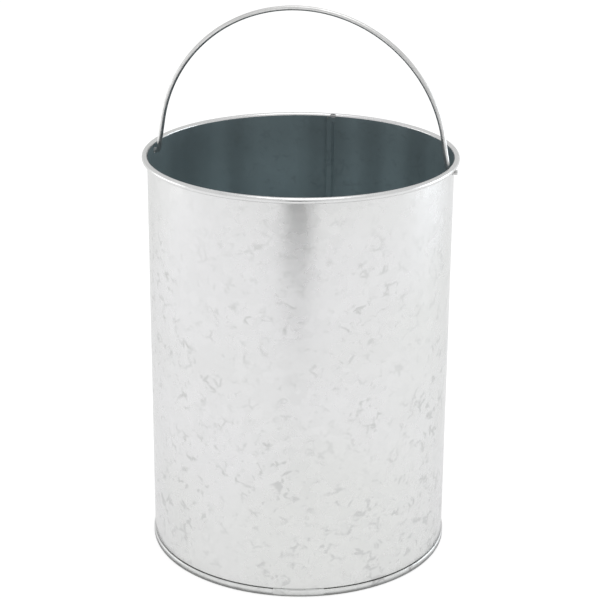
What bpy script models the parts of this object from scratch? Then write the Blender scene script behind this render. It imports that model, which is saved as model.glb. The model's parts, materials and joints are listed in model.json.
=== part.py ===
"""Galvanised florist bucket: rolled wall with a wired rim, double-seamed bottom and a swinging wire bail.

Metres, +Z up.  The origin is on the ground, at the centre of the base.  The bail hinges about X.
The sheet parts are drawn with the wall's lock seam at +Y, then turned together by SEAM_TURN.
"""
import math

import bmesh
import bpy
from mathutils import Matrix, Vector

OBJECT_NAME = "florist_bucket"

# Driving dimensions
WALL_OUTER_RADIUS = 0.125
BUCKET_HEIGHT = 0.340
SHEET = 0.0005
FIT_GAP = 0.0003

RIM_WIRE_RADIUS = 0.0016
CURL_END_ANGLE = math.radians(-125.0)

PANEL_HEIGHT = 0.006
LIP_HEIGHT = 0.0059
LIP_PROUD = 0.0011
NECK_HEIGHT = 0.001
BOTTOM_SEAL_HEIGHT = 0.0008
END_HOOK_TIP = 0.002

SEAM_FACE = 0.0047
SEAM_SLOPE = 0.0019
SEAM_LAP = 0.0032
SEAM_TURN = math.radians(2.3)
SIDE_SEAL_WIDTH = 0.0006
RIM_NOTCH_WIDTH = 0.0053
RIM_NOTCH_DEPTH = 0.0015

BAIL_WIRE_RADIUS = 0.0020
BAIL_HOLE_CLEARANCE = 0.00035
BAIL_HOLE_EDGE = 0.00075
BAIL_LEG_CLEARANCE = 0.0012
BAIL_BEND_RADIUS = 0.0026
BAIL_ARC_INSET = 0.0026
BAIL_ARC_RISE = 0.0077
BAIL_REST_LEAN = math.radians(1.9)

TURN_STEPS = 72
CURL_STEPS = 12
RIM_WIRE_SIDES = 8
BEND_STEPS = 6
ARC_STEPS = 44
HOLE_SIDES = 24
WIRE_BEVEL_STEPS = 3
MERGE_DISTANCE = 0.00001

# Fits worked out from them
LAYER = SHEET + FIT_GAP
WALL_RADIUS = WALL_OUTER_RADIUS - SHEET / 2
WALL_INNER_RADIUS = WALL_OUTER_RADIUS - SHEET

CURL_RADIUS = RIM_WIRE_RADIUS + FIT_GAP + SHEET / 2
RIM_RADIUS = WALL_RADIUS + CURL_RADIUS
RIM_OUTER_RADIUS = RIM_RADIUS + CURL_RADIUS + SHEET / 2
RIM_HEIGHT = BUCKET_HEIGHT - CURL_RADIUS - SHEET / 2

LIP_RADIUS = WALL_OUTER_RADIUS + LIP_PROUD - SHEET / 2
BODY_HOOK_RADIUS = LIP_RADIUS - LAYER
END_HOOK_RADIUS = BODY_HOOK_RADIUS - LAYER
NECK_RADIUS = END_HOOK_RADIUS - LAYER
CHUCK_RADIUS = NECK_RADIUS - LAYER
LIP_TOP = LIP_HEIGHT - SHEET / 2
LIP_BOTTOM = SHEET / 2
BODY_TURN = LIP_BOTTOM + LAYER
NECK_LOW = LIP_HEIGHT + FIT_GAP
NECK_HIGH = NECK_LOW + NECK_HEIGHT
BOTTOM_SEAL_TOP = LIP_TOP - SHEET / 2 - FIT_GAP
BODY_HOOK_TIP = BOTTOM_SEAL_TOP - BOTTOM_SEAL_HEIGHT - FIT_GAP

SEAM_LOW = max(NECK_HIGH, PANEL_HEIGHT + SHEET / 2) + FIT_GAP
SEAM_HIGH = RIM_HEIGHT - FIT_GAP

BAIL_HOLE_RADIUS = BAIL_WIRE_RADIUS + BAIL_HOLE_CLEARANCE
PIVOT_HEIGHT = RIM_HEIGHT - CURL_RADIUS - SHEET / 2 - BAIL_HOLE_EDGE - BAIL_HOLE_RADIUS
BAIL_HALF_WIDTH = WALL_INNER_RADIUS - BAIL_LEG_CLEARANCE - BAIL_WIRE_RADIUS
BAIL_ARC_RADIUS = BAIL_HALF_WIDTH - BAIL_ARC_INSET


def clear_scene():
    for thing in list(bpy.data.objects):
        bpy.data.objects.remove(thing, do_unlink=True)


def new_collection(name):
    collection = bpy.data.collections.new(name)
    bpy.context.scene.collection.children.link(collection)
    return collection


def metal(name, colour, roughness, metallic=1.0):
    material = bpy.data.materials.new(name)
    material.use_nodes = True
    shader = material.node_tree.nodes["Principled BSDF"]
    shader.inputs["Base Color"].default_value = (*colour, 1.0)
    shader.inputs["Roughness"].default_value = roughness
    shader.inputs["Metallic"].default_value = metallic
    return material


def add_mesh_object(name, bm, collection, material=None):
    mesh = bpy.data.meshes.new(name)
    bm.to_mesh(mesh)
    bm.free()
    thing = bpy.data.objects.new(name, mesh)
    collection.objects.link(thing)
    if material:
        mesh.materials.append(material)
    return thing


def turn_to_seam(things):
    """Turns pieces about the bucket's axis, from where they are drawn to where the seam stands."""
    for thing in things:
        thing.matrix_basis = Matrix.Rotation(SEAM_TURN, 4, "Z") @ thing.matrix_basis


def open_profile(points):
    """An open chain of (radius, height) points, ready for a Screw modifier."""
    bm = bmesh.new()
    verts = [bm.verts.new((radius, 0.0, height)) for radius, height in points]
    for first, second in zip(verts, verts[1:]):
        bm.edges.new((first, second))
    return bm


def turn(thing):
    screw = thing.modifiers.new("turn", "SCREW")
    screw.axis = "Z"
    screw.angle = 2 * math.pi
    screw.steps = TURN_STEPS
    screw.render_steps = TURN_STEPS
    screw.use_merge_vertices = True
    screw.merge_threshold = MERGE_DISTANCE
    screw.use_smooth_shade = True
    return screw


def thicken(thing):
    solidify = thing.modifiers.new("sheet", "SOLIDIFY")
    solidify.thickness = SHEET
    solidify.offset = 0.0
    solidify.use_even_offset = True
    solidify.use_quality_normals = True
    return solidify


def extruded_outline(name, outline, low, high, collection):
    """A flat outline in X and Y, from one height to another, as a mesh object."""
    curve = bpy.data.curves.new(name, "CURVE")
    curve.dimensions = "2D"
    curve.fill_mode = "BOTH"
    curve.extrude = (high - low) / 2
    spline = curve.splines.new("POLY")
    spline.points.add(len(outline) - 1)
    for point, (x, y) in zip(spline.points, outline):
        point.co = (x, y, 0.0, 1.0)
    spline.use_cyclic_u = True
    guide = bpy.data.objects.new(name + "_curve", curve)
    guide.location = (0.0, 0.0, (low + high) / 2)
    collection.objects.link(guide)
    return curve_to_mesh_object(guide, name, collection)


def curve_to_mesh_object(guide, name, collection):
    bpy.context.view_layer.update()
    evaluated = guide.evaluated_get(bpy.context.evaluated_depsgraph_get())
    mesh = bpy.data.meshes.new_from_object(evaluated)
    bm = bmesh.new()
    bm.from_mesh(mesh)
    bmesh.ops.remove_doubles(bm, verts=bm.verts, dist=MERGE_DISTANCE)
    bmesh.ops.recalc_face_normals(bm, faces=bm.faces)
    bm.to_mesh(mesh)
    bm.free()
    mesh.name = name
    thing = bpy.data.objects.new(name, mesh)
    thing.matrix_world = guide.matrix_world.copy()
    collection.objects.link(thing)
    bpy.data.objects.remove(guide, do_unlink=True)
    return thing


def hide_tool(thing):
    thing.hide_render = True
    thing.display_type = "WIRE"


def combine(target, tool, operation):
    boolean = target.modifiers.new(tool.name, "BOOLEAN")
    boolean.operation = operation
    boolean.solver = "EXACT"
    boolean.object = tool
    hide_tool(tool)


def body_profile():
    """The wall's mid-line: bottom hook, neck, straight side, then the curl over the rim wire."""
    points = [
        (BODY_HOOK_RADIUS, BODY_HOOK_TIP),
        (BODY_HOOK_RADIUS, BODY_TURN),
        (NECK_RADIUS, BODY_TURN),
        (NECK_RADIUS, NECK_LOW),
        (WALL_RADIUS, NECK_HIGH),
    ]
    for step in range(CURL_STEPS + 1):
        angle = math.pi + (CURL_END_ANGLE - math.pi) * step / CURL_STEPS
        points.append((RIM_RADIUS + CURL_RADIUS * math.cos(angle),
                       RIM_HEIGHT + CURL_RADIUS * math.sin(angle)))
    return list(reversed(points))


def seam_level(layer):
    """Y of a lock seam layer's mid-line, counted inward from the wall as layer 0."""
    return WALL_RADIUS - layer * LAYER


def thick_path(path):
    """The closed outline of a sheet of thickness SHEET that follows an open path in X and Y."""
    sides = ([], [])
    for index, point in enumerate(path):
        here = Vector(point)
        before = here - Vector(path[index - 1]) if index > 0 else None
        after = Vector(path[index + 1]) - here if index < len(path) - 1 else None
        directions = [step.normalized() for step in (before, after) if step is not None]
        normals = [Vector((-step.y, step.x)) for step in directions]
        mean = sum(normals, Vector((0.0, 0.0))).normalized()
        reach = SHEET / 2 / mean.dot(normals[0])
        sides[0].append(tuple(here + mean * reach))
        sides[1].append(tuple(here - mean * reach))
    return sides[0] + list(reversed(sides[1]))


def seam_places():
    """X of the lock seam's folds: the cover's fold, the cover's slope, and the inner hook's fold."""
    cover_fold = -SEAM_FACE / 2
    slope_top = SEAM_FACE / 2
    inner_fold = slope_top - LAYER
    return cover_fold, slope_top, inner_fold


def cover_hook_path():
    """One edge of the sheet: it rises inward over the seam, folds back and tucks underneath."""
    cover_fold, slope_top, inner_fold = seam_places()
    fold = cover_fold + SHEET / 2
    return [
        (slope_top + SEAM_SLOPE, WALL_RADIUS - SHEET / 4),
        (slope_top, seam_level(3)),
        (fold, seam_level(3)),
        (fold, seam_level(1)),
        (min(fold + SEAM_LAP, inner_fold - LAYER), seam_level(1)),
    ]


def inner_hook_path():
    """The sheet's other edge: it folds back between the two layers of the cover."""
    cover_fold, _, inner_fold = seam_places()
    tip = cover_fold + SHEET + FIT_GAP + SIDE_SEAL_WIDTH + FIT_GAP
    return [
        (inner_fold, WALL_RADIUS - SHEET / 4),
        (inner_fold, seam_level(2)),
        (tip, seam_level(2)),
    ]


def make_body_shell(parts, tools, material):
    shell = add_mesh_object("body_shell", open_profile(body_profile()), parts, material)
    turn(shell)
    thicken(shell)
    cover_hook = extruded_outline("cover_hook", thick_path(cover_hook_path()), SEAM_LOW, SEAM_HIGH, tools)
    inner_hook = extruded_outline("inner_hook", thick_path(inner_hook_path()), SEAM_LOW, SEAM_HIGH, tools)
    notch_cutter = make_notch_cutter(tools)
    turn_to_seam([shell, cover_hook, inner_hook, notch_cutter])
    combine(shell, cover_hook, "UNION")
    combine(shell, inner_hook, "UNION")
    combine(shell, notch_cutter, "DIFFERENCE")
    combine(shell, make_hole_cutter(tools), "DIFFERENCE")
    return shell


def make_notch_cutter(tools):
    """Clips the inner corner of the curl beside the seam, where the sheet's folds run out."""
    width, depth, height = RIM_NOTCH_WIDTH, 2 * RIM_NOTCH_DEPTH, 2 * CURL_RADIUS
    bm = bmesh.new()
    bmesh.ops.create_cube(bm, size=1.0)
    bmesh.ops.scale(bm, vec=(width, depth, height), verts=bm.verts)
    cutter = add_mesh_object("rim_notch_cutter", bm, tools)
    cutter.location = (SEAM_FACE / 2 + SEAM_SLOPE / 2, WALL_INNER_RADIUS, RIM_HEIGHT + CURL_RADIUS / 2)
    return cutter


def make_hole_cutter(tools):
    """One bar along X that pierces both bail holes."""
    bm = bmesh.new()
    bmesh.ops.create_cone(bm, cap_ends=True, segments=HOLE_SIDES, radius1=BAIL_HOLE_RADIUS,
                          radius2=BAIL_HOLE_RADIUS, depth=2 * (WALL_OUTER_RADIUS + CURL_RADIUS))
    cutter = add_mesh_object("bail_hole_cutter", bm, tools)
    cutter.rotation_euler = (0.0, math.pi / 2, 0.0)
    cutter.location = (0.0, 0.0, PIVOT_HEIGHT)
    return cutter


def make_rim_wire(parts, material):
    bpy.ops.mesh.primitive_torus_add(major_segments=TURN_STEPS, minor_segments=RIM_WIRE_SIDES,
                                     major_radius=RIM_RADIUS, minor_radius=RIM_WIRE_RADIUS,
                                     location=(0.0, 0.0, RIM_HEIGHT))
    wire = bpy.context.object
    wire.name = "rim_wire"
    wire.data.name = "rim_wire"
    wire.data.materials.append(material)
    wire.data.shade_smooth()
    for collection in list(wire.users_collection):
        collection.objects.unlink(wire)
    parts.objects.link(wire)
    return wire


def make_bottom_disc(parts, material):
    """Recessed panel whose edge goes down inside the wall, under it, up outside and back in."""
    profile = [
        (0.0, PANEL_HEIGHT),
        (CHUCK_RADIUS, PANEL_HEIGHT),
        (CHUCK_RADIUS, LIP_BOTTOM),
        (LIP_RADIUS, LIP_BOTTOM),
        (LIP_RADIUS, LIP_TOP),
        (END_HOOK_RADIUS, LIP_TOP),
        (END_HOOK_RADIUS, END_HOOK_TIP),
    ]
    disc = add_mesh_object("bottom_disc", open_profile(profile), parts, material)
    turn(disc)
    thicken(disc)
    return disc


def make_bottom_seam_seal(parts, material):
    """A ring of sealing compound in the fold above the body hook."""
    middle = BOTTOM_SEAL_TOP - BOTTOM_SEAL_HEIGHT / 2
    profile = [(BODY_HOOK_RADIUS, middle + BOTTOM_SEAL_HEIGHT / 2),
               (BODY_HOOK_RADIUS, middle - BOTTOM_SEAL_HEIGHT / 2)]
    seal = add_mesh_object("bottom_seam_seal", open_profile(profile), parts, material)
    turn(seal)
    thicken(seal)
    return seal


def make_side_seam_seal(parts, material):
    """A strip of sealing compound inside the lock seam's cover fold."""
    cover_fold, _, _ = seam_places()
    start = cover_fold + SHEET + FIT_GAP
    bm = bmesh.new()
    bmesh.ops.create_cube(bm, size=1.0)
    bmesh.ops.scale(bm, vec=(SIDE_SEAL_WIDTH, SHEET, SEAM_HIGH - SEAM_LOW), verts=bm.verts)
    seal = add_mesh_object("side_seam_seal", bm, parts, material)
    seal.location = (start + SIDE_SEAL_WIDTH / 2, seam_level(2), (SEAM_HIGH + SEAM_LOW) / 2)
    return seal


def half_bail_points():
    """Centreline from one outer tip to the top of the arc, as (x, z) from the pivot axis."""
    points = [(RIM_OUTER_RADIUS, 0.0)]
    reach = math.hypot(BAIL_HALF_WIDTH, BAIL_ARC_RISE - BAIL_BEND_RADIUS)
    arc_start = (math.acos(BAIL_ARC_RADIUS / reach)
                 - math.atan2(BAIL_ARC_RISE - BAIL_BEND_RADIUS, BAIL_HALF_WIDTH))
    for step in range(BEND_STEPS + 1):
        angle = -math.pi / 2 - (math.pi / 2 - arc_start) * step / BEND_STEPS
        points.append((BAIL_HALF_WIDTH + BAIL_BEND_RADIUS * (1 + math.cos(angle)),
                       BAIL_BEND_RADIUS * (1 + math.sin(angle))))
    for step in range(ARC_STEPS // 2 + 1):
        angle = arc_start + (math.pi / 2 - arc_start) * step / (ARC_STEPS // 2)
        points.append((BAIL_ARC_RADIUS * math.cos(angle),
                       BAIL_ARC_RISE + BAIL_ARC_RADIUS * math.sin(angle)))
    return points


def make_bail(parts, material):
    """Wire handle: each end turns outward through its hole and is the hinge pin there."""
    half = half_bail_points()
    centreline = half + [(-x, z) for x, z in reversed(half[:-1])]
    curve = bpy.data.curves.new("bail", "CURVE")
    curve.dimensions = "3D"
    curve.bevel_depth = BAIL_WIRE_RADIUS
    curve.bevel_resolution = WIRE_BEVEL_STEPS
    curve.use_fill_caps = True
    spline = curve.splines.new("POLY")
    spline.points.add(len(centreline) - 1)
    for point, (x, z) in zip(spline.points, centreline):
        point.co = (x, 0.0, z, 1.0)
    curve.materials.append(material)
    bail = bpy.data.objects.new("bail", curve)
    bail.location = (0.0, 0.0, PIVOT_HEIGHT)
    bail.rotation_euler = (BAIL_REST_LEAN, 0.0, 0.0)
    parts.objects.link(bail)
    return bail


def main():
    clear_scene()
    parts = new_collection(OBJECT_NAME)
    tools = new_collection(OBJECT_NAME + "_cutters")
    galvanised = metal("galvanised_sheet", (0.72, 0.73, 0.74), 0.38)
    bottom_sheet = metal("bottom_sheet", (0.66, 0.67, 0.68), 0.42)
    rim_steel = metal("rim_wire_steel", (0.50, 0.50, 0.51), 0.45)
    bail_steel = metal("bail_wire_steel", (0.60, 0.60, 0.60), 0.30)
    compound = metal("seam_compound", (0.30, 0.29, 0.26), 0.80, metallic=0.0)
    side_compound = metal("side_seam_compound", (0.30, 0.29, 0.26), 0.80, metallic=0.0)
    make_body_shell(parts, tools, galvanised)
    turn_to_seam([
        make_rim_wire(parts, rim_steel),
        make_bottom_disc(parts, bottom_sheet),
        make_bottom_seam_seal(parts, compound),
        make_side_seam_seal(parts, side_compound),
    ])
    make_bail(parts, bail_steel)


main()
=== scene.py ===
"""Looks for a galvanised florist bucket: meshes, materials, light and camera around the CAD frame.

Metres, +Z up.  The origin is on the ground, at the centre of the base.  The bail hinges about X.
Sheets are made with the wall's lock seam at +Y, and the wall is then turned by SEAM_TURN.  Angles round
them start at the seam and grow towards +X.
"""
import bisect
import json
import math

import bmesh
import bpy
from mathutils import Matrix, Vector, noise


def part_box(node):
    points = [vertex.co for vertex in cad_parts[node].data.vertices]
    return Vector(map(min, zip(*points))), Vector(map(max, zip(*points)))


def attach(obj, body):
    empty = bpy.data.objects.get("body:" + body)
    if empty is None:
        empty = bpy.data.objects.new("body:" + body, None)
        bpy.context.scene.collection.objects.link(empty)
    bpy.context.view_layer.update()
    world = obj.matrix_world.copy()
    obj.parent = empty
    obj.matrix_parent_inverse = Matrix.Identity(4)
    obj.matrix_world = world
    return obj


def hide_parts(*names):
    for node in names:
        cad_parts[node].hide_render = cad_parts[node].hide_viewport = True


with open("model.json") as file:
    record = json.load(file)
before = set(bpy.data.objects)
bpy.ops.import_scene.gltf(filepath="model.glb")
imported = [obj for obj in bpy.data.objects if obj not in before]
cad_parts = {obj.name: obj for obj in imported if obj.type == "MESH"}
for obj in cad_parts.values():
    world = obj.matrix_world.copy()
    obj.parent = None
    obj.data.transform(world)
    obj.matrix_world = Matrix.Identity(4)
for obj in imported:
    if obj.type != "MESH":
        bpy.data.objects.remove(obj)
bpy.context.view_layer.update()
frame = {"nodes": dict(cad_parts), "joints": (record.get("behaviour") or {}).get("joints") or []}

MM = 0.001

# Values no further apart than these count as one
NEAR = 0.01 * MM
NEAR_ANGLE = 1e-6
NEAR_STEP = 1e-6

# Sheet and seam sizes, the same as the CAD part's, except the neck's height, which is 1.0 mm there
SHEET = 0.5 * MM
FIT_GAP = 0.3 * MM
LAYER = SHEET + FIT_GAP
CURL_END = math.radians(-125.0)
LIP_HEIGHT = 5.9 * MM
NECK_HEIGHT = 0.6 * MM
BOTTOM_SEAL_HEIGHT = 0.8 * MM
END_HOOK_TIP = 2.0 * MM
SEAM_FACE = 4.7 * MM
SEAM_SLOPE = 1.9 * MM
SEAM_LAP = 3.2 * MM
SEAM_TURN = math.radians(2.3)
SIDE_SEAL_WIDTH = 0.6 * MM
HOLE_CLEARANCE = 0.35 * MM
BAIL_LEG_CLEARANCE = 1.2 * MM
BAIL_BEND_RADIUS = 2.6 * MM
BAIL_ARC_INSET = 2.6 * MM
BAIL_ARC_RISE = 7.7 * MM
BAIL_LEAN = math.radians(1.9)

# Places that the frame gives
wire_low, wire_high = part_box("rim_wire")
disc_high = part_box("bottom_disc")[1]
bail_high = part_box("bail")[1]
RIM_WIRE_RADIUS = (wire_high.z - wire_low.z) / 2
RIM_HEIGHT = (wire_high.z + wire_low.z) / 2
RIM_RADIUS = wire_high.x - RIM_WIRE_RADIUS
CURL_RADIUS = RIM_WIRE_RADIUS + FIT_GAP + SHEET / 2
WALL_RADIUS = RIM_RADIUS - CURL_RADIUS
PANEL_HEIGHT = disc_high.z - SHEET / 2
LIP_RADIUS = disc_high.x - SHEET / 2
PIVOT = Vector(frame["joints"][0]["pos_m"])
PIN_TIP = bail_high.x
BAIL_WIRE_RADIUS = 2.0 * MM
HOLE_RADIUS = BAIL_WIRE_RADIUS + HOLE_CLEARANCE

# Fits worked out from them
BODY_HOOK_RADIUS = LIP_RADIUS - LAYER
END_HOOK_RADIUS = BODY_HOOK_RADIUS - LAYER
NECK_RADIUS = END_HOOK_RADIUS - LAYER
CHUCK_RADIUS = NECK_RADIUS - LAYER
LIP_TOP = LIP_HEIGHT - SHEET / 2
LIP_BOTTOM = SHEET / 2
BODY_TURN = LIP_BOTTOM + LAYER
NECK_LOW = LIP_HEIGHT + FIT_GAP
NECK_HIGH = NECK_LOW + NECK_HEIGHT
BODY_HOOK_TIP = LIP_TOP - SHEET / 2 - FIT_GAP - BOTTOM_SEAL_HEIGHT - FIT_GAP
SEAM_LOW = max(NECK_HIGH, PANEL_HEIGHT + SHEET / 2) + FIT_GAP
COVER_FOLD = -SEAM_FACE / 2
SLOPE_TOP = SEAM_FACE / 2
SLOPE_ROOT = SLOPE_TOP + SEAM_SLOPE
INNER_FOLD = SLOPE_TOP - LAYER
BAIL_HALF_WIDTH = WALL_RADIUS - SHEET / 2 - BAIL_LEG_CLEARANCE - BAIL_WIRE_RADIUS
BAIL_ARC_RADIUS = BAIL_HALF_WIDTH - BAIL_ARC_INSET

# Fine detail that only the looks have
FOLD_RADIUS = 0.4 * MM
WIDE_FOLD_RADIUS = 0.7 * MM
NOTCH_CENTRE = Vector((3.3 * MM, 0.75 * MM))
NOTCH_HALF = Vector((2.65 * MM, 1.75 * MM))
NOTCH_BLOCK = Vector((3.6 * MM, 2.65 * MM))
HOLE_BLOCK = Vector((4.2 * MM, 4.2 * MM))
SEAM_HIGH = RIM_HEIGHT + NOTCH_CENTRE.y - NOTCH_BLOCK.y
HOLE_PLACES = [WALL_RADIUS * (SEAM_TURN - math.pi / 2), WALL_RADIUS * (SEAM_TURN + math.pi / 2)]
SLOT_LOW = INNER_FOLD - FOLD_RADIUS - 0.05 * MM
SLOT_HIGH = SLOPE_ROOT + FOLD_RADIUS
SEAM_TAB_RISE = 0.9 * MM
BURR_HEIGHT = 0.35 * MM
BURR_WIDTH = 0.9 * MM
WAVE_HEIGHT = 0.10 * MM
WAVE_LENGTH = 80 * MM
WAVE_FADE = 20 * MM
RIPPLE_SCALE = 2.7
RIPPLE_SHARE = 0.4
RIPPLE_SHIFT = Vector((5.0, 1.0, 3.0))
SEAM_CALM = (8 * MM, 20 * MM)
# The inner faces' painted shade runs round the bead's inner side to this angle from its top
PAINTED_SHADE_BEAD_EDGE = math.radians(88.0)
PRESS_CENTRE = math.radians(166.0)
PRESS_HALF_WIDTH = 21 * MM
PRESS_BLEND = 0.9 * MM
PRESS_DEPTH = 0.22 * MM
PRESS_RISE = 0.55 * MM
LIP_BARREL = 0.35 * MM
CRIMP_HEIGHT = 0.12 * MM
CRIMP_SPAN = 30 * MM
PANEL_WAVE = 0.25 * MM
FILED_EDGE = 0.35 * MM
SHEET_SHARP = math.radians(50)
WIRE_SHARP = math.radians(40)

# Mesh spacing
ROUND_STEP = 2.6 * MM
RISE_STEP = 6.0 * MM
CURL_STEP = 0.45 * MM
NOTCH_STEPS = (12, 10)
HOLE_STEPS = 8
OPENING_RINGS = 5
LIP_ROUND_STEP = 2.8 * MM
LIP_RISE_STEP = 1.2 * MM
WIRE_SIDES = 24
RIM_WIRE_STEPS = 288

# Stage, light and camera
CAMERA_AZIMUTH = math.radians(13.8)
CAMERA_DISTANCE = 1.4321
CAMERA_HEIGHT = 0.7451
CAMERA_YAW = math.radians(0.006)
CAMERA_PITCH = math.radians(-20.45)
CAMERA_ROLL = math.radians(0.374)
CAMERA_LENS = 109.4
FLOOR_HALF = 40.0
FLOOR_GLOW = 0.68
FLOOR_LEVEL = -0.2 * MM
SKY_HORIZON = 1.0
SKY_TOP = 0.88
SKY_FALL = (0.02, 0.12)
CARD_WIDTH = 0.30
CARD_HEIGHT = 0.42
CARD_LIFT = 0.04
CARD_OFFSET = -0.025
CARD_DISTANCE = 0.98
RING_INNER = 119 * MM
RING_OUTER = 130 * MM
RING_LIFT = -0.05 * MM
LAMP_TARGET = (0.0, 0.0, 0.2)
SIDE_LAMP_SIZE = (1.2, 1.0)
OVERHEAD_LAMP_SIZE = (1.3, 1.3)
WHITE = (1.0, 1.0, 1.0)
COOL_WHITE = (0.86, 0.93, 1.0)
EDGE_TINT = (0.86, 0.86, 0.86, 1.0)


# ---------------------------------------------------------------- outlines

def rounded(corners, radii, step=math.radians(12)):
    """An open chain of 2D corners, with each inner corner turned into an arc of the given radius."""
    points = [Vector(corners[0])]
    for before, corner, after, radius in zip(corners, corners[1:], corners[2:], radii):
        corner = Vector(corner)
        back = (Vector(before) - corner).normalized()
        ahead = (Vector(after) - corner).normalized()
        half = back.angle(ahead) / 2
        centre = corner + (back + ahead).normalized() * (radius / math.sin(half))
        start = corner + back * (radius / math.tan(half)) - centre
        turn = math.pi - 2 * half
        if back.x * ahead.y - back.y * ahead.x > 0:
            turn = -turn
        count = max(2, math.ceil(abs(turn) / step))
        for index in range(count + 1):
            angle = turn * index / count
            cosine, sine = math.cos(angle), math.sin(angle)
            turned = Vector((start.x * cosine - start.y * sine, start.x * sine + start.y * cosine))
            points.append(centre + turned)
    points.append(Vector(corners[-1]))
    return points


def lengths_along(points):
    total = [0.0]
    for first, second in zip(points, points[1:]):
        total.append(total[-1] + (second - first).length)
    return total


def smooth_step(low, high, value):
    share = min(max((value - low) / (high - low), 0.0), 1.0)
    return share * share * (3 - 2 * share)


def spread(low, high, spacing):
    """Evenly spaced values from low to high, both included, no further apart than the spacing."""
    count = max(1, math.ceil((high - low) / spacing - NEAR_STEP))
    return [low + (high - low) * index / count for index in range(count + 1)]


def merged(*runs, near=NEAR):
    """The runs' values in order, without near repeats."""
    out = []
    for value in sorted(v for run in runs for v in run):
        if not out or value - out[-1] > near:
            out.append(value)
    return out


# ---------------------------------------------------------------- the wall sheet

def wall_profile():
    """(radius, height) of the wall sheet's mid-line, from the bottom hook's tip to the curl's start."""
    corners = [(BODY_HOOK_RADIUS, BODY_HOOK_TIP), (BODY_HOOK_RADIUS, BODY_TURN), (NECK_RADIUS, BODY_TURN),
               (NECK_RADIUS, NECK_LOW), (WALL_RADIUS, NECK_HIGH), (WALL_RADIUS, RIM_HEIGHT)]
    neck_bend = 0.8 * NECK_HEIGHT
    return rounded(corners, [WIDE_FOLD_RADIUS, WIDE_FOLD_RADIUS, neck_bend, neck_bend])


PROFILE = wall_profile()
PROFILE_LENGTHS = lengths_along(PROFILE)
CURL_START = PROFILE_LENGTHS[-1]
CURL_FINISH = CURL_START + CURL_RADIUS * (math.pi - CURL_END)


def profile_at(length):
    """(radius, height) at a length along the wall sheet; past the wall's top it is the curl's arc."""
    past = length - CURL_START
    if past >= 0.0:
        angle = math.pi - past / CURL_RADIUS
        return RIM_RADIUS + CURL_RADIUS * math.cos(angle), RIM_HEIGHT + CURL_RADIUS * math.sin(angle)
    index = min(max(bisect.bisect_right(PROFILE_LENGTHS, length) - 1, 0), len(PROFILE) - 2)
    share = (length - PROFILE_LENGTHS[index]) / (PROFILE_LENGTHS[index + 1] - PROFILE_LENGTHS[index])
    point = PROFILE[index].lerp(PROFILE[index + 1], share)
    return point.x, point.y


def length_at_height(height):
    """Length along the sheet of a height on the straight wall."""
    return CURL_START + height - RIM_HEIGHT


def wave(x, y, z):
    """The wall's slight unevenness, faded out towards both ends."""
    above_neck = smooth_step(NECK_HIGH, NECK_HIGH + WAVE_FADE, z)
    near_rim = smooth_step(RIM_HEIGHT - WAVE_FADE, RIM_HEIGHT, z)
    fade = above_neck * (1 - near_rim)
    if fade <= 0.0:
        return 0.0
    place = Vector((x, y, z)) / WAVE_LENGTH
    ripple = noise.noise(place * RIPPLE_SCALE + RIPPLE_SHIFT)
    return WAVE_HEIGHT * fade * (noise.noise(place) + RIPPLE_SHARE * ripple)


def burr(across, height):
    """How far the sheet is pushed out beside a pierced bail hole."""
    nearest = min(abs(across - place) for place in HOLE_PLACES)
    away = math.hypot(nearest, height - PIVOT.z)
    return BURR_HEIGHT * math.exp(-(((away - HOLE_RADIUS) / BURR_WIDTH) ** 2))


def wall_point(across, length):
    """A point of the wall sheet's middle, from its distance round the wall and along the profile."""
    radius, height = profile_at(length)
    angle = across / WALL_RADIUS
    sine, cosine = math.sin(angle), math.cos(angle)
    if length < CURL_START:
        away_from_seam = smooth_step(*SEAM_CALM, abs(across))
        radius += wave(WALL_RADIUS * sine, WALL_RADIUS * cosine, height) * away_from_seam
        radius += burr(across, height)
    return Vector((radius * sine, radius * cosine, height))


def divided(centre, half, count):
    return [centre - half + 2 * half * index / count for index in range(count + 1)]


def wall_grid():
    """Distances round the wall, and lengths along its profile, at which the sheet's grid has lines."""
    half_turn = WALL_RADIUS * math.pi
    fixed = merged(divided(NOTCH_CENTRE.x, NOTCH_BLOCK.x, NOTCH_STEPS[0]), [SLOT_LOW, SLOT_HIGH],
                   *[divided(place, HOLE_BLOCK.x, HOLE_STEPS) for place in HOLE_PLACES])
    stops = [-half_turn] + fixed + [half_turn]
    rounds = merged(*[spread(low, high, ROUND_STEP) for low, high in zip(stops, stops[1:])])
    seam_low = length_at_height(SEAM_LOW)
    neck = [length for length in PROFILE_LENGTHS if length < seam_low - 0.1 * MM]
    hole_rows = divided(length_at_height(PIVOT.z), HOLE_BLOCK.y, HOLE_STEPS)
    notch_rows = divided(CURL_START + NOTCH_CENTRE.y, NOTCH_BLOCK.y, NOTCH_STEPS[1])
    rows = merged(neck, spread(seam_low, hole_rows[0], RISE_STEP),
                  [row for row in hole_rows if row < notch_rows[0] - 0.1 * MM], notch_rows,
                  spread(notch_rows[-1], CURL_FINISH, CURL_STEP))
    return rounds[:-1], rows


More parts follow.
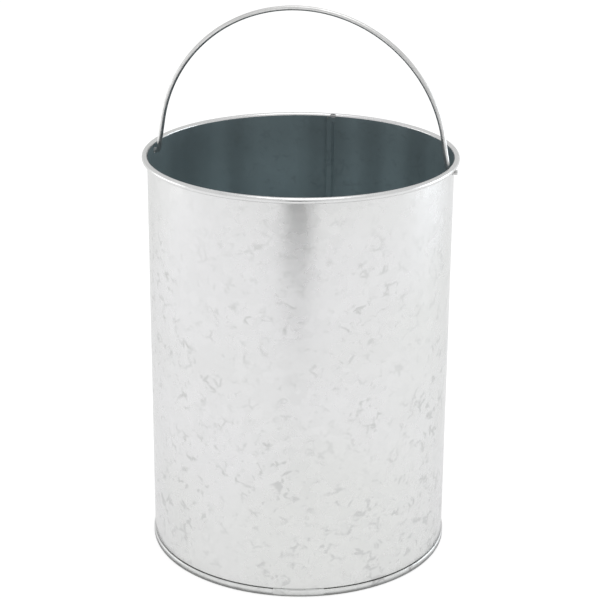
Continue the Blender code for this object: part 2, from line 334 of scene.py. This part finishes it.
class Sheet:
    """A sheet's middle surface, made as a grid that can have openings, with shared corners found by place."""

    def __init__(self, point_at):
        self.bm = bmesh.new()
        self.point_at = point_at
        self.corners = {}

    def corner(self, across, length):
        key = (round(across * 1e7), round(length * 1e7))
        if key not in self.corners:
            self.corners[key] = self.bm.verts.new(self.point_at(across, length))
        return self.corners[key]

    def quad(self, verts):
        distinct = list(dict.fromkeys(verts))
        if len(distinct) > 2:
            self.bm.faces.new(distinct)

    def opening(self, rounds, rows, centre, half):
        """Fills the block that these grid lines bound, round an elliptical opening."""
        low, high = rows[0], rows[-1]
        left, right = rounds[0], rounds[-1]
        border = ([(x, low) for x in rounds[:-1]] + [(right, y) for y in rows[:-1]]
                  + [(x, high) for x in reversed(rounds[1:])] + [(left, y) for y in reversed(rows[1:])])
        reach = Vector(((right - left) / 2, (high - low) / 2))
        loops = [[self.corner(*place) for place in border]]
        for ring in range(1, OPENING_RINGS + 1):
            share = ring / OPENING_RINGS
            loop = []
            for place in border:
                outer = Vector(place) - centre
                angle = math.atan2(outer.y / reach.y, outer.x / reach.x)
                inner = Vector((half.x * math.cos(angle), half.y * math.sin(angle)))
                loop.append(self.bm.verts.new(self.point_at(*(centre + outer.lerp(inner, share)))))
            loops.append(loop)
        for outer, inner in zip(loops, loops[1:]):
            for index in range(len(border)):
                after = (index + 1) % len(border)
                self.quad([outer[index], outer[after], inner[after], inner[index]])


def within(values, low, high):
    return [value for value in values if low - NEAR < value < high + NEAR]


def seam_level(layer):
    """Y of a lock seam layer, counted inward from the wall as layer 0."""
    return WALL_RADIUS - layer * LAYER


def on_wall(across):
    return (WALL_RADIUS * math.sin(across / WALL_RADIUS), WALL_RADIUS * math.cos(across / WALL_RADIUS))


def cover_path():
    """One edge of the wall sheet in plan: in over the seam, back on itself, and tucked underneath."""
    fold = COVER_FOLD + SHEET / 2
    tip = min(fold + SEAM_LAP, INNER_FOLD - LAYER)
    corners = [on_wall(SLOT_HIGH), on_wall(SLOPE_ROOT), (SLOPE_TOP, seam_level(3)), (fold, seam_level(3)),
               (fold, seam_level(1)), (tip, seam_level(1))]
    return rounded(corners, [FOLD_RADIUS, FOLD_RADIUS, WIDE_FOLD_RADIUS, WIDE_FOLD_RADIUS])


def inner_path():
    """The sheet's other edge in plan: folded back between the cover's two layers."""
    tip = COVER_FOLD + SHEET + FIT_GAP + SIDE_SEAL_WIDTH + FIT_GAP
    corners = [on_wall(SLOT_LOW), on_wall(INNER_FOLD), (INNER_FOLD, seam_level(2)), (tip, seam_level(2))]
    return rounded(corners, [FOLD_RADIUS, FOLD_RADIUS])


def cover_top(point):
    """Height of the cover's clipped top edge: a corner is cut off and a tab reaches the rim."""
    tab_edge = COVER_FOLD + 0.25 * SEAM_FACE
    share = min(max((SLOPE_ROOT - point.x) / (SLOPE_ROOT - tab_edge), 0.0), 1.0)
    return PIVOT.z + (SEAM_HIGH + SEAM_TAB_RISE - PIVOT.z) * share


def add_fold(sheet, path, rows, start, top_at):
    """A strip of the sheet that leaves the wall at one grid line and follows a path in plan."""
    heights = [profile_at(row)[1] for row in rows]
    bend_from = heights[-1] - 3 * RISE_STEP
    columns = [[sheet.corner(start, row) for row in rows]]
    for point in path[1:]:
        top = top_at(point)
        column = []
        for height in heights:
            share = smooth_step(bend_from, heights[-1], height)
            column.append(sheet.bm.verts.new((point.x, point.y, height + (top - heights[-1]) * share)))
        columns.append(column)
    for first, second in zip(columns, columns[1:]):
        for low, high in zip(range(len(rows)), range(1, len(rows))):
            sheet.quad([first[low], second[low], second[high], first[high]])


def wall_sheet():
    rounds, rows = wall_grid()
    sheet = Sheet(wall_point)
    hole_length = length_at_height(PIVOT.z)
    notch_length = CURL_START + NOTCH_CENTRE.y
    slot = (SLOT_LOW, SLOT_HIGH, length_at_height(SEAM_LOW), hole_length)
    hole_half = Vector((HOLE_RADIUS, HOLE_RADIUS))
    blocks = [(Vector((NOTCH_CENTRE.x, notch_length)), NOTCH_BLOCK, NOTCH_HALF)]
    blocks += [(Vector((place, hole_length)), HOLE_BLOCK, hole_half) for place in HOLE_PLACES]
    openings = [slot]
    for centre, block, _ in blocks:
        openings.append((centre.x - block.x, centre.x + block.x, centre.y - block.y, centre.y + block.y))
    for index, left in enumerate(rounds):
        right = rounds[(index + 1) % len(rounds)]
        column = left + NEAR
        for low, high in zip(rows, rows[1:]):
            row = (low + high) / 2
            if any(start < column < end and under < row < over for start, end, under, over in openings):
                continue
            sheet.quad([sheet.corner(left, low), sheet.corner(right, low),
                        sheet.corner(right, high), sheet.corner(left, high)])
    for centre, block, half in blocks:
        sheet.opening(within(rounds, centre.x - block.x, centre.x + block.x),
                      within(rows, centre.y - block.y, centre.y + block.y), centre, half)
    seam_rows = within(rows, slot[2], slot[3])
    add_fold(sheet, cover_path(), seam_rows, SLOT_HIGH, cover_top)
    add_fold(sheet, inner_path(), seam_rows, SLOT_LOW, lambda point: PIVOT.z)
    return sheet.bm


def is_inside_face(centre, normal):
    """True for the faces that take the painted shade: the wall's inner face, up to the edge of the rim's
    bright top.
    """
    radius = math.hypot(centre.x, centre.y)
    if centre.z > RIM_HEIGHT:
        away = Vector((radius - RIM_RADIUS, centre.z - RIM_HEIGHT))
        outward = (normal.x * centre.x + normal.y * centre.y) / radius * away.x + normal.z * away.y
        return outward > 0 and math.atan2(-away.x, away.y) > PAINTED_SHADE_BEAD_EDGE
    if radius > WALL_RADIUS + SHEET:
        return False
    return normal.x * centre.x + normal.y * centre.y < 0


# ---------------------------------------------------------------- the bottom

def bottom_profile():
    """(radius, height) of the bottom sheet's mid-line, from the centre to the tip of its outer hook."""
    corners = [(CHUCK_RADIUS - 6 * MM, PANEL_HEIGHT), (CHUCK_RADIUS, PANEL_HEIGHT),
               (CHUCK_RADIUS, LIP_BOTTOM), (LIP_RADIUS, LIP_BOTTOM), (LIP_RADIUS, LIP_TOP),
               (END_HOOK_RADIUS, LIP_TOP), (END_HOOK_RADIUS, END_HOOK_TIP)]
    edge = rounded(corners, [1.0 * MM, 0.5 * MM, 1.1 * MM, WIDE_FOLD_RADIUS, WIDE_FOLD_RADIUS])
    panel = [Vector((radius, PANEL_HEIGHT)) for radius in spread(12 * MM, corners[0][0], 11 * MM)]
    chain = panel[:-1] + edge
    out = [chain[0]]
    for first, second in zip(chain, chain[1:]):
        if second.x > CHUCK_RADIUS - 3 * MM:
            shares = spread(0.0, 1.0, min(1.0, LIP_RISE_STEP / (second - first).length))
            out += [first.lerp(second, share) for share in shares[1:]]
        else:
            out.append(second)
    return out


def from_press(angle):
    """Signed distance round the lip from the middle of its pressed stretch."""
    turn = (angle - PRESS_CENTRE + math.pi) % (2 * math.pi) - math.pi
    return turn * LIP_RADIUS


def bottom_point(angle, point):
    radius, height = point
    distance = from_press(angle)
    press_low = PRESS_HALF_WIDTH - PRESS_BLEND / 2
    press_high = PRESS_HALF_WIDTH + PRESS_BLEND / 2
    pressed = 1 - smooth_step(press_low, press_high, abs(distance))
    if radius > BODY_HOOK_RADIUS:
        outer = smooth_step(BODY_HOOK_RADIUS, LIP_RADIUS, radius)
        belly = 0.6 * LIP_HEIGHT
        radius -= LIP_BARREL * outer * ((height - belly) / belly) ** 2 * (1 - 0.5 * pressed)
        radius -= PRESS_DEPTH * pressed * outer * smooth_step(1.0 * MM, 2.5 * MM, height)
        beyond = -distance - PRESS_HALF_WIDTH
        crimped = smooth_step(0, 2 * MM, beyond) * (1 - smooth_step(0.4 * CRIMP_SPAN, CRIMP_SPAN, beyond))
        ripple = noise.noise(Vector((distance / (2.2 * MM), height / (2.5 * MM), 7.0)))
        radius -= CRIMP_HEIGHT * outer * crimped * abs(ripple)
    if radius > NECK_RADIUS and height > 0.5 * LIP_HEIGHT:
        height += PRESS_RISE * pressed * smooth_step(0.6 * LIP_HEIGHT, LIP_TOP, height)
    if radius < CHUCK_RADIUS - 4 * MM:
        place = Vector((radius * math.sin(angle), radius * math.cos(angle), 0.0)) / WAVE_LENGTH
        near_edge = smooth_step(0.8 * CHUCK_RADIUS, CHUCK_RADIUS - 4 * MM, radius)
        height += PANEL_WAVE * noise.noise(place) * (1 - near_edge)
    return Vector((radius * math.sin(angle), radius * math.cos(angle), height))


def bottom_angles():
    ends = [PRESS_CENTRE - PRESS_HALF_WIDTH / LIP_RADIUS, PRESS_CENTRE + PRESS_HALF_WIDTH / LIP_RADIUS]
    fine = 0.3 * MM / LIP_RADIUS
    blend = PRESS_BLEND / LIP_RADIUS
    crimp = CRIMP_SPAN / LIP_RADIUS
    stops = [ends[1] + blend - 2 * math.pi, ends[0] - crimp, ends[0] - blend, ends[0] + blend,
             ends[1] - blend, ends[1] + blend]
    coarse = LIP_ROUND_STEP / LIP_RADIUS
    steps = [coarse, 0.6 * MM / LIP_RADIUS, fine, coarse, fine]
    runs = [spread(low, high, step) for low, high, step in zip(stops, stops[1:], steps)]
    return merged(*runs, near=NEAR_ANGLE)[:-1]


def bottom_sheet():
    angles = bottom_angles()
    profile = bottom_profile()
    bm = bmesh.new()
    centre = bm.verts.new((0.0, 0.0, PANEL_HEIGHT))
    columns = [[bm.verts.new(bottom_point(angle, point)) for point in profile] for angle in angles]
    for index, first in enumerate(columns):
        second = columns[(index + 1) % len(columns)]
        bm.faces.new([centre, first[0], second[0]])
        for low, high in zip(range(len(profile)), range(1, len(profile))):
            bm.faces.new([first[low], first[high], second[high], second[low]])
    return bm


# ---------------------------------------------------------------- wires

def bail_centreline():
    """Points of the bail's centreline as (x, distance up the bail's own plane) from the hinge line."""
    rise = BAIL_ARC_RISE - BAIL_BEND_RADIUS
    reach = math.hypot(BAIL_HALF_WIDTH, rise)
    arc_start = math.acos(BAIL_ARC_RADIUS / reach) - math.atan2(rise, BAIL_HALF_WIDTH)
    pin = spread(-PIN_TIP, -BAIL_HALF_WIDTH - BAIL_BEND_RADIUS, 1.5 * MM)
    half = [Vector((-x, 0.0)) for x in pin[:-1]]
    for angle in spread(0.0, math.pi / 2 - arc_start, math.radians(7)):
        turned = -math.pi / 2 - angle
        half.append(Vector((BAIL_HALF_WIDTH + BAIL_BEND_RADIUS * (1 + math.cos(turned)),
                            BAIL_BEND_RADIUS * (1 + math.sin(turned)))))
    for angle in spread(arc_start, math.pi / 2, math.radians(1.2)):
        half.append(Vector((BAIL_ARC_RADIUS * math.cos(angle),
                            BAIL_ARC_RISE + BAIL_ARC_RADIUS * math.sin(angle))))
    return half + [Vector((-point.x, point.y)) for point in reversed(half[:-1])]


def bail_mesh():
    """The wire swept along its centreline, with filed ends and a UV map: length along, turn round."""
    line = bail_centreline()
    lengths = lengths_along(line)
    lean = Matrix.Rotation(BAIL_LEAN, 3, "X")
    across = lean @ Vector((0.0, 1.0, 0.0))
    bm = bmesh.new()
    uv = bm.loops.layers.uv.new("wire")
    rings = []
    for index, point in enumerate(line):
        before, after = line[max(index - 1, 0)], line[min(index + 1, len(line) - 1)]
        tangent = (after - before).normalized()
        side = lean @ Vector((-tangent.y, 0.0, tangent.x))
        centre = PIVOT + lean @ Vector((point.x, 0.0, point.y))
        ring = []
        for step in range(WIRE_SIDES):
            turn = 2 * math.pi * step / WIRE_SIDES
            offset = BAIL_WIRE_RADIUS * (math.cos(turn) * across + math.sin(turn) * side)
            ring.append(bm.verts.new(centre + offset))
        rings.append(ring)
    for index in range(len(rings) - 1):
        for step in range(WIRE_SIDES):
            after = (step + 1) % WIRE_SIDES
            face = bm.faces.new([rings[index][step], rings[index][after],
                                 rings[index + 1][after], rings[index + 1][step]])
            places = [(index, step), (index, step + 1), (index + 1, step + 1), (index + 1, step)]
            for loop, (along, turn) in zip(face.loops, places):
                loop[uv].uv = (lengths[along], 2 * math.pi * BAIL_WIRE_RADIUS * turn / WIRE_SIDES)
    for ring, sign in ((rings[0], 1), (rings[-1], -1)):
        middle = sum((vert.co for vert in ring), Vector()) / WIRE_SIDES
        inner = []
        for vert in ring:
            inner.append(bm.verts.new(middle + (vert.co - middle) * (1 - FILED_EDGE / BAIL_WIRE_RADIUS)))
            vert.co.x -= sign * FILED_EDGE
        for step in range(WIRE_SIDES):
            after = (step + 1) % WIRE_SIDES
            bm.faces.new([ring[step], ring[after], inner[after], inner[step]])
        bm.faces.new(inner)
    bmesh.ops.recalc_face_normals(bm, faces=bm.faces)
    return bm


def make_rim_wire(materials):
    bpy.ops.mesh.primitive_torus_add(major_segments=RIM_WIRE_STEPS, minor_segments=WIRE_SIDES,
                                     major_radius=RIM_RADIUS, minor_radius=RIM_WIRE_RADIUS,
                                     location=(0.0, 0.0, RIM_HEIGHT))
    ring = bpy.context.object
    ring.name = "rim_wire_round"
    ring.data.materials.append(materials["rim_wire"])
    ring.data.shade_smooth()
    return ring


# ---------------------------------------------------------------- objects

def add_object(name, bm, materials):
    mesh = bpy.data.meshes.new(name)
    bm.to_mesh(mesh)
    bm.free()
    thing = bpy.data.objects.new(name, mesh)
    bpy.context.scene.collection.objects.link(thing)
    for material in materials:
        mesh.materials.append(material)
    return thing


def thicken(thing):
    """Gives a sheet its thickness for good, and leaves its cut edges sharp."""
    solidify = thing.modifiers.new("sheet", "SOLIDIFY")
    solidify.thickness = SHEET
    solidify.offset = 0.0
    solidify.use_even_offset = True
    solidify.use_quality_normals = True
    bpy.context.view_layer.update()
    evaluated = thing.evaluated_get(bpy.context.evaluated_depsgraph_get())
    solid = bpy.data.meshes.new_from_object(evaluated)
    thing.modifiers.clear()
    bm = bmesh.new()
    bm.from_mesh(solid)
    bmesh.ops.recalc_face_normals(bm, faces=bm.faces)
    bm.to_mesh(solid)
    bm.free()
    thing.data = solid
    solid.shade_smooth()
    solid.set_sharp_from_angle(angle=SHEET_SHARP)
    return thing


def turn_to_seam(thing):
    """Turns a finished sheet about the bucket's axis, from where it is made to where the seam stands."""
    thing.data.transform(Matrix.Rotation(SEAM_TURN, 4, "Z"))


def paint_inside(thing, is_inside):
    """Gives the second material slot, the one with the painted shade, to the faces that a rule picks."""
    for polygon in thing.data.polygons:
        polygon.material_index = 1 if is_inside(polygon.center, polygon.normal) else 0


def make_wall(materials):
    bm = wall_sheet()
    bmesh.ops.recalc_face_normals(bm, faces=bm.faces)
    wall = thicken(add_object("wall", bm, [materials["outside"], materials["inside"]]))
    paint_inside(wall, is_inside_face)
    turn_to_seam(wall)
    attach(wall, "bucket")
    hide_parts("body_shell")


def is_inside_panel(centre, normal):
    """True for the bottom panel's upper face, within the neck, which takes the painted shade."""
    return math.hypot(centre.x, centre.y) < CHUCK_RADIUS and normal.z > 0.2


def make_bottom(materials):
    bm = bottom_sheet()
    bmesh.ops.recalc_face_normals(bm, faces=bm.faces)
    bottom = thicken(add_object("bottom", bm, [materials["lip"], materials["inside"]]))
    paint_inside(bottom, is_inside_panel)
    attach(bottom, "bucket")
    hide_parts("bottom_disc")


def make_wires(materials):
    ring = make_rim_wire(materials)
    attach(ring, "bucket")
    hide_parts("rim_wire")
    bail = add_object("bail_wire", bail_mesh(), [materials["bail"]])
    bail.data.shade_smooth()
    bail.data.set_sharp_from_angle(angle=WIRE_SHARP)
    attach(bail, "handle")
    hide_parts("bail")


# ---------------------------------------------------------------- materials

class Nodes:
    """Short names for the shader nodes that the materials here are made of."""

    def __init__(self, name):
        self.material = bpy.data.materials.new(name)
        self.material.use_nodes = True
        self.tree = self.material.node_tree
        self.shader = self.tree.nodes["Principled BSDF"]
        self.place = self.tree.nodes.new("ShaderNodeTexCoord").outputs["Object"]

    def link(self, source, target):
        self.tree.links.new(source, target)

    def new(self, kind, **settings):
        node = self.tree.nodes.new(kind)
        for key, value in settings.items():
            setattr(node, key, value)
        return node

    def mapped(self, source, scale, offset=(0.0, 0.0, 0.0)):
        node = self.new("ShaderNodeMapping")
        node.inputs["Scale"].default_value = scale
        node.inputs["Location"].default_value = offset
        self.link(source, node.inputs["Vector"])
        return node.outputs["Vector"]

    def noise(self, source, scale, detail=2.0, roughness=0.5, distortion=0.0):
        node = self.new("ShaderNodeTexNoise")
        node.inputs["Scale"].default_value = scale
        node.inputs["Detail"].default_value = detail
        node.inputs["Roughness"].default_value = roughness
        node.inputs["Distortion"].default_value = distortion
        self.link(source, node.inputs["Vector"])
        return node

    def voronoi(self, source, scale, feature="F1"):
        node = self.new("ShaderNodeTexVoronoi", feature=feature)
        node.inputs["Scale"].default_value = scale
        self.link(source, node.inputs["Vector"])
        return node

    def ramp(self, source, low, high, to_low=0.0, to_high=1.0):
        node = self.new("ShaderNodeMapRange", interpolation_type="SMOOTHSTEP")
        for key, value in zip(("From Min", "From Max", "To Min", "To Max"), (low, high, to_low, to_high)):
            node.inputs[key].default_value = value
        self.link(source, node.inputs["Value"])
        return node.outputs["Result"]

    def math(self, operation, first, second):
        node = self.new("ShaderNodeMath", operation=operation)
        for socket, value in zip(node.inputs, (first, second)):
            if isinstance(value, (int, float)):
                socket.default_value = value
            else:
                self.link(value, socket)
        return node.outputs["Value"]

    def mix(self, factor, first, second):
        """Mixes two colours; a Mix node's colour sockets are inputs 6 and 7, and output 2."""
        node = self.new("ShaderNodeMix", data_type="RGBA")
        sockets = [node.inputs["Factor"], node.inputs[6], node.inputs[7]]
        for socket, value in zip(sockets, (factor, first, second)):
            if isinstance(value, (int, float)):
                socket.default_value = value
            elif isinstance(value, tuple):
                socket.default_value = (*value, 1.0)
            else:
                self.link(value, socket)
        return node.outputs[2]

    def scaled(self, colour, factor):
        node = self.new("ShaderNodeVectorMath", operation="SCALE")
        self.link(colour, node.inputs[0])
        self.link(factor, node.inputs["Scale"])
        return node.outputs["Vector"]

    def bump(self, height, strength, distance, normal=None):
        node = self.new("ShaderNodeBump")
        node.inputs["Strength"].default_value = strength
        node.inputs["Distance"].default_value = distance
        self.link(height, node.inputs["Height"])
        if normal is not None:
            self.link(normal, node.inputs["Normal"])
        return node.outputs["Normal"]


def galvanised(name, light, dark, tint, roughness, fleck_share=1.0, metallic=1.0, streaks=0.0, painted_depth_light=1.0):
    """Zinc-coated sheet: soft spangle, scattered darker flecks, patchy sheen, faint upright streaks, and
    painted light that lightens it lower down by the depth gain.
    """
    n = Nodes(name)
    n.shader.inputs["Metallic"].default_value = metallic
    n.shader.inputs["Specular Tint"].default_value = EDGE_TINT
    warped = n.noise(n.place, 90.0, 2.0)
    shift = n.new("ShaderNodeVectorMath", operation="MULTIPLY_ADD")
    n.link(warped.outputs["Color"], shift.inputs[0])
    shift.inputs[1].default_value = (0.006, 0.006, 0.006)
    n.link(n.place, shift.inputs[2])
    place = shift.outputs["Vector"]
    spangle = n.voronoi(place, 130.0)
    edges = n.voronoi(place, 105.0, "DISTANCE_TO_EDGE")
    patches = n.noise(n.place, 14.0, 3.0)
    clouds = n.noise(n.place, 5.0, 2.0)
    height = n.new("ShaderNodeSeparateXYZ")
    n.link(n.place, height.inputs["Vector"])
    lower = n.ramp(height.outputs["Z"], 0.33, 0.22)
    stroke_places = n.noise(n.mapped(n.place, (1.0, 1.0, 1.4), (0.31, 0.07, 0.0)), 75.0, 2.0)
    strokes = n.math("MULTIPLY", n.ramp(edges.outputs["Distance"], 0.20, 0.02),
                     n.ramp(stroke_places.outputs["Fac"], 0.52, 0.68))
    blobs = n.ramp(n.noise(place, 130.0, 4.0, 0.6, 0.6).outputs["Fac"], 0.56, 0.76)
    dense = n.ramp(patches.outputs["Fac"], 0.38, 0.62, 0.35, 1.0)
    flecks = n.math("MULTIPLY", n.math("MULTIPLY", n.math("MAXIMUM", strokes, blobs), dense),
                    n.math("MULTIPLY_ADD", lower, fleck_share * 0.9))
    colour = n.mix(n.ramp(clouds.outputs["Fac"], 0.35, 0.65), light, tint)
    cell = n.new("ShaderNodeSeparateColor")
    n.link(spangle.outputs["Color"], cell.inputs["Color"])
    colour = n.mix(n.math("MULTIPLY", cell.outputs["Red"], 0.16), colour, dark)
    colour = n.mix(flecks, colour, dark)
    streak_places = n.noise(n.mapped(n.place, (1.0, 1.0, 0.05)), 22.0, 2.0)
    streak = n.ramp(streak_places.outputs["Fac"], 0.35, 0.65, 1 - streaks, 1 + streaks)
    # Painted light: the colour is scaled from 1 at 0.335 m up to the depth gain at 0.265 m and below, as if
    # more light reached there
    streaks_and_painted_light = n.math("MULTIPLY", streak, n.ramp(height.outputs["Z"], 0.335, 0.265, 1.0, painted_depth_light))
    colour = n.scaled(colour, streaks_and_painted_light)
    n.link(colour, n.shader.inputs["Base Color"])
    rough = n.ramp(cell.outputs["Green"], 0.0, 1.0, roughness - 0.03, roughness + 0.03)
    rough = n.math("ADD", rough, n.ramp(patches.outputs["Fac"], 0.3, 0.7, -0.03, 0.03))
    n.link(rough, n.shader.inputs["Roughness"])
    grain = n.noise(n.place, 1400.0, 2.0)
    normal = n.bump(grain.outputs["Fac"], 0.06, 0.0003)
    normal = n.bump(spangle.outputs["Distance"], 0.012, 0.001, normal)
    n.link(normal, n.shader.inputs["Normal"])
    return n.material


def drawn_wire(name, light, dark, roughness, along_uv):
    """Drawn steel wire: fine die lines along its length and a slightly mottled zinc skin."""
    n = Nodes(name)
    n.shader.inputs["Metallic"].default_value = 1.0
    if along_uv:
        source = n.new("ShaderNodeUVMap", uv_map="wire").outputs["UV"]
        lines_place = n.mapped(source, (30.0, 2600.0, 1.0))
    else:
        lines_place = n.mapped(n.place, (60.0, 60.0, 2600.0))
    lines = n.noise(lines_place, 1.0, 3.0, 0.6)
    mottle = n.noise(n.place, 260.0, 3.0)
    colour = n.mix(n.ramp(lines.outputs["Fac"], 0.35, 0.68), light, dark)
    colour = n.mix(n.ramp(mottle.outputs["Fac"], 0.45, 0.75, 0.0, 0.35), colour, dark)
    n.link(colour, n.shader.inputs["Base Color"])
    rough = n.ramp(mottle.outputs["Fac"], 0.3, 0.7, roughness - 0.05, roughness + 0.08)
    n.link(rough, n.shader.inputs["Roughness"])
    normal = n.bump(lines.outputs["Fac"], 0.06, 0.0002)
    n.link(normal, n.shader.inputs["Normal"])
    return n.material


def compound(name):
    """Rubbery sealing compound."""
    n = Nodes(name)
    mottle = n.noise(n.place, 500.0, 4.0)
    colour = n.mix(mottle.outputs["Fac"], (0.20, 0.19, 0.17), (0.34, 0.33, 0.29))
    n.link(colour, n.shader.inputs["Base Color"])
    n.link(n.ramp(mottle.outputs["Fac"], 0.3, 0.7, 0.6, 0.85), n.shader.inputs["Roughness"])
    n.link(n.bump(mottle.outputs["Fac"], 0.3, 0.0003), n.shader.inputs["Normal"])
    return n.material


def make_materials():
    """The inner faces are the same sheet as the outside; their material has painted shade, darker and duller,
    and painted light that makes it lighter with depth.
    """
    outside = galvanised("galvanised_outside", (0.71, 0.71, 0.715), (0.56, 0.565, 0.56),
                         (0.68, 0.685, 0.675), 0.26)
    # Painted shade: the inner faces get a darker, blue-green and duller colour than the outside; the depth
    # gain adds painted light lower down
    inside = galvanised("galvanised_inside", (0.172, 0.222, 0.237), (0.135, 0.172, 0.184),
                        (0.158, 0.206, 0.220), 0.45, fleck_share=0.4, metallic=0.4, streaks=0.14,
                        painted_depth_light=1.65)
    lip = galvanised("galvanised_bottom", (0.74, 0.74, 0.74), (0.45, 0.45, 0.45),
                     (0.70, 0.71, 0.70), 0.36, fleck_share=0.5)
    rim_wire = drawn_wire("rim_wire_steel_drawn", (0.50, 0.50, 0.51), (0.36, 0.36, 0.36), 0.45, False)
    bail = drawn_wire("bail_wire_steel_drawn", (0.76, 0.76, 0.755), (0.52, 0.52, 0.515), 0.36, True)
    return {"outside": outside, "inside": inside, "lip": lip, "rim_wire": rim_wire, "bail": bail,
            "compound": compound("seam_compound_dull")}


def dress_frame(materials):
    """The hidden sealing compound stays as the frame's own nodes, with a finer material."""
    for name in ("bottom_seam_seal", "side_seam_seal"):
        mesh = frame["nodes"][name].data
        mesh.materials.clear()
        mesh.materials.append(materials["compound"])


# ---------------------------------------------------------------- stage, light, camera

def make_camera():
    """The main view: from the front, a little to the right, looking down at about 20 degrees."""
    heading = Matrix.Rotation(CAMERA_AZIMUTH, 3, "Z")
    pitch, yaw, roll = CAMERA_PITCH, CAMERA_YAW, CAMERA_ROLL
    forward = Vector((math.sin(yaw) * math.cos(pitch), math.cos(yaw) * math.cos(pitch), math.sin(pitch)))
    right = forward.cross(Vector((0.0, 0.0, 1.0))).normalized()
    up = right.cross(forward)
    rolled_right = math.cos(roll) * right + math.sin(roll) * up
    rolled_up = math.cos(roll) * up - math.sin(roll) * right
    rotation = heading @ Matrix((rolled_right, rolled_up, -forward)).transposed()
    data = bpy.data.cameras.new("camera")
    data.sensor_width = 36.0
    data.lens = CAMERA_LENS
    data.clip_start, data.clip_end = 0.01, 200.0
    camera = bpy.data.objects.new("camera", data)
    place = heading @ Vector((0.0, -CAMERA_DISTANCE, CAMERA_HEIGHT))
    camera.matrix_world = Matrix.Translation(place) @ rotation.to_4x4()
    bpy.context.scene.collection.objects.link(camera)
    bpy.context.scene.camera = camera


def make_floor():
    bm = bmesh.new()
    bmesh.ops.create_grid(bm, x_segments=1, y_segments=1, size=FLOOR_HALF)
    n = Nodes("pale_floor")
    n.shader.inputs["Base Color"].default_value = (0.4, 0.4, 0.4, 1.0)
    n.shader.inputs["Roughness"].default_value = 0.9
    n.shader.inputs["Emission Color"].default_value = (1.0, 1.0, 1.0, 1.0)
    n.shader.inputs["Emission Strength"].default_value = FLOOR_GLOW
    floor = add_object("floor", bm, [n.material])
    floor.location.z = FLOOR_LEVEL


def make_sky():
    """White round the horizon and dim overhead, as in a studio with a low white surround."""
    world = bpy.data.worlds.new("studio")
    world.use_nodes = True
    tree = world.node_tree
    place = tree.nodes.new("ShaderNodeTexCoord")
    split = tree.nodes.new("ShaderNodeSeparateXYZ")
    fall = tree.nodes.new("ShaderNodeMapRange")
    fall.interpolation_type = "SMOOTHSTEP"
    for key, value in zip(("From Min", "From Max", "To Min", "To Max"), (*SKY_FALL, SKY_HORIZON, SKY_TOP)):
        fall.inputs[key].default_value = value
    tree.links.new(place.outputs["Generated"], split.inputs["Vector"])
    tree.links.new(split.outputs["Z"], fall.inputs["Value"])
    background = tree.nodes["Background"]
    tree.links.new(fall.outputs["Result"], background.inputs["Strength"])
    background.inputs["Color"].default_value = (1.0, 1.0, 1.0, 1.0)
    bpy.context.scene.world = world


def make_lamp(name, place, size, power, colour=WHITE):
    data = bpy.data.lights.new(name, "AREA")
    data.shape = "RECTANGLE"
    data.size, data.size_y = size
    data.energy = power
    data.color = colour
    lamp = bpy.data.objects.new(name, data)
    lamp.location = place
    lamp.rotation_euler = (Vector(LAMP_TARGET) - Vector(place)).to_track_quat("-Z", "Y").to_euler()
    bpy.context.scene.collection.objects.link(lamp)


def make_dark_card():
    """A dark card in front of the bucket, hidden from the camera, whose reflection darkens the wall."""
    bm = bmesh.new()
    bmesh.ops.create_grid(bm, x_segments=1, y_segments=1, size=0.5)
    n = Nodes("dark_card")
    n.shader.inputs["Base Color"].default_value = (0.02, 0.02, 0.02, 1.0)
    card = add_object("dark_card", bm, [n.material])
    card.scale = (CARD_WIDTH, CARD_HEIGHT, 1.0)
    card.rotation_euler = (math.pi / 2, 0.0, CAMERA_AZIMUTH)
    heading = Matrix.Rotation(CAMERA_AZIMUTH, 3, "Z")
    card.location = heading @ Vector((CARD_OFFSET, -CARD_DISTANCE, CARD_LIFT + CARD_HEIGHT / 2))
    card.visible_camera = False


def make_contact_ring():
    """A grey ring on the floor at the foot, seen only in reflections, in place of a contact shadow."""
    bm = bmesh.new()
    inner, outer = [], []
    for angle in spread(0.0, 2 * math.pi, math.radians(3))[:-1]:
        cosine, sine = math.cos(angle), math.sin(angle)
        inner.append(bm.verts.new((RING_INNER * cosine, RING_INNER * sine, RING_LIFT)))
        outer.append(bm.verts.new((RING_OUTER * cosine, RING_OUTER * sine, RING_LIFT)))
    for index in range(len(inner)):
        after = (index + 1) % len(inner)
        bm.faces.new([inner[index], outer[index], outer[after], inner[after]])
    n = Nodes("contact_ring")
    n.shader.inputs["Base Color"].default_value = (0.34, 0.34, 0.34, 1.0)
    n.shader.inputs["Roughness"].default_value = 0.9
    ring = add_object("contact_ring", bm, [n.material])
    ring.visible_camera = False
    ring.visible_diffuse = False
    ring.visible_shadow = False


def make_lamps():
    make_lamp("right_softbox", (1.6, 1.0, 0.25), SIDE_LAMP_SIZE, 9.0, COOL_WHITE)
    make_lamp("left_softbox", (-1.85, 0.0, 0.25), SIDE_LAMP_SIZE, 4.0)
    make_lamp("overhead_softbox", (0.1, -0.3, 2.2), OVERHEAD_LAMP_SIZE, 8.0)


def main():
    bpy.context.scene.view_settings.view_transform = "Standard"
    materials = make_materials()
    dress_frame(materials)
    make_wall(materials)
    make_bottom(materials)
    make_wires(materials)
    make_floor()
    make_sky()
    make_lamps()
    make_dark_card()
    make_contact_ring()
    make_camera()


main()
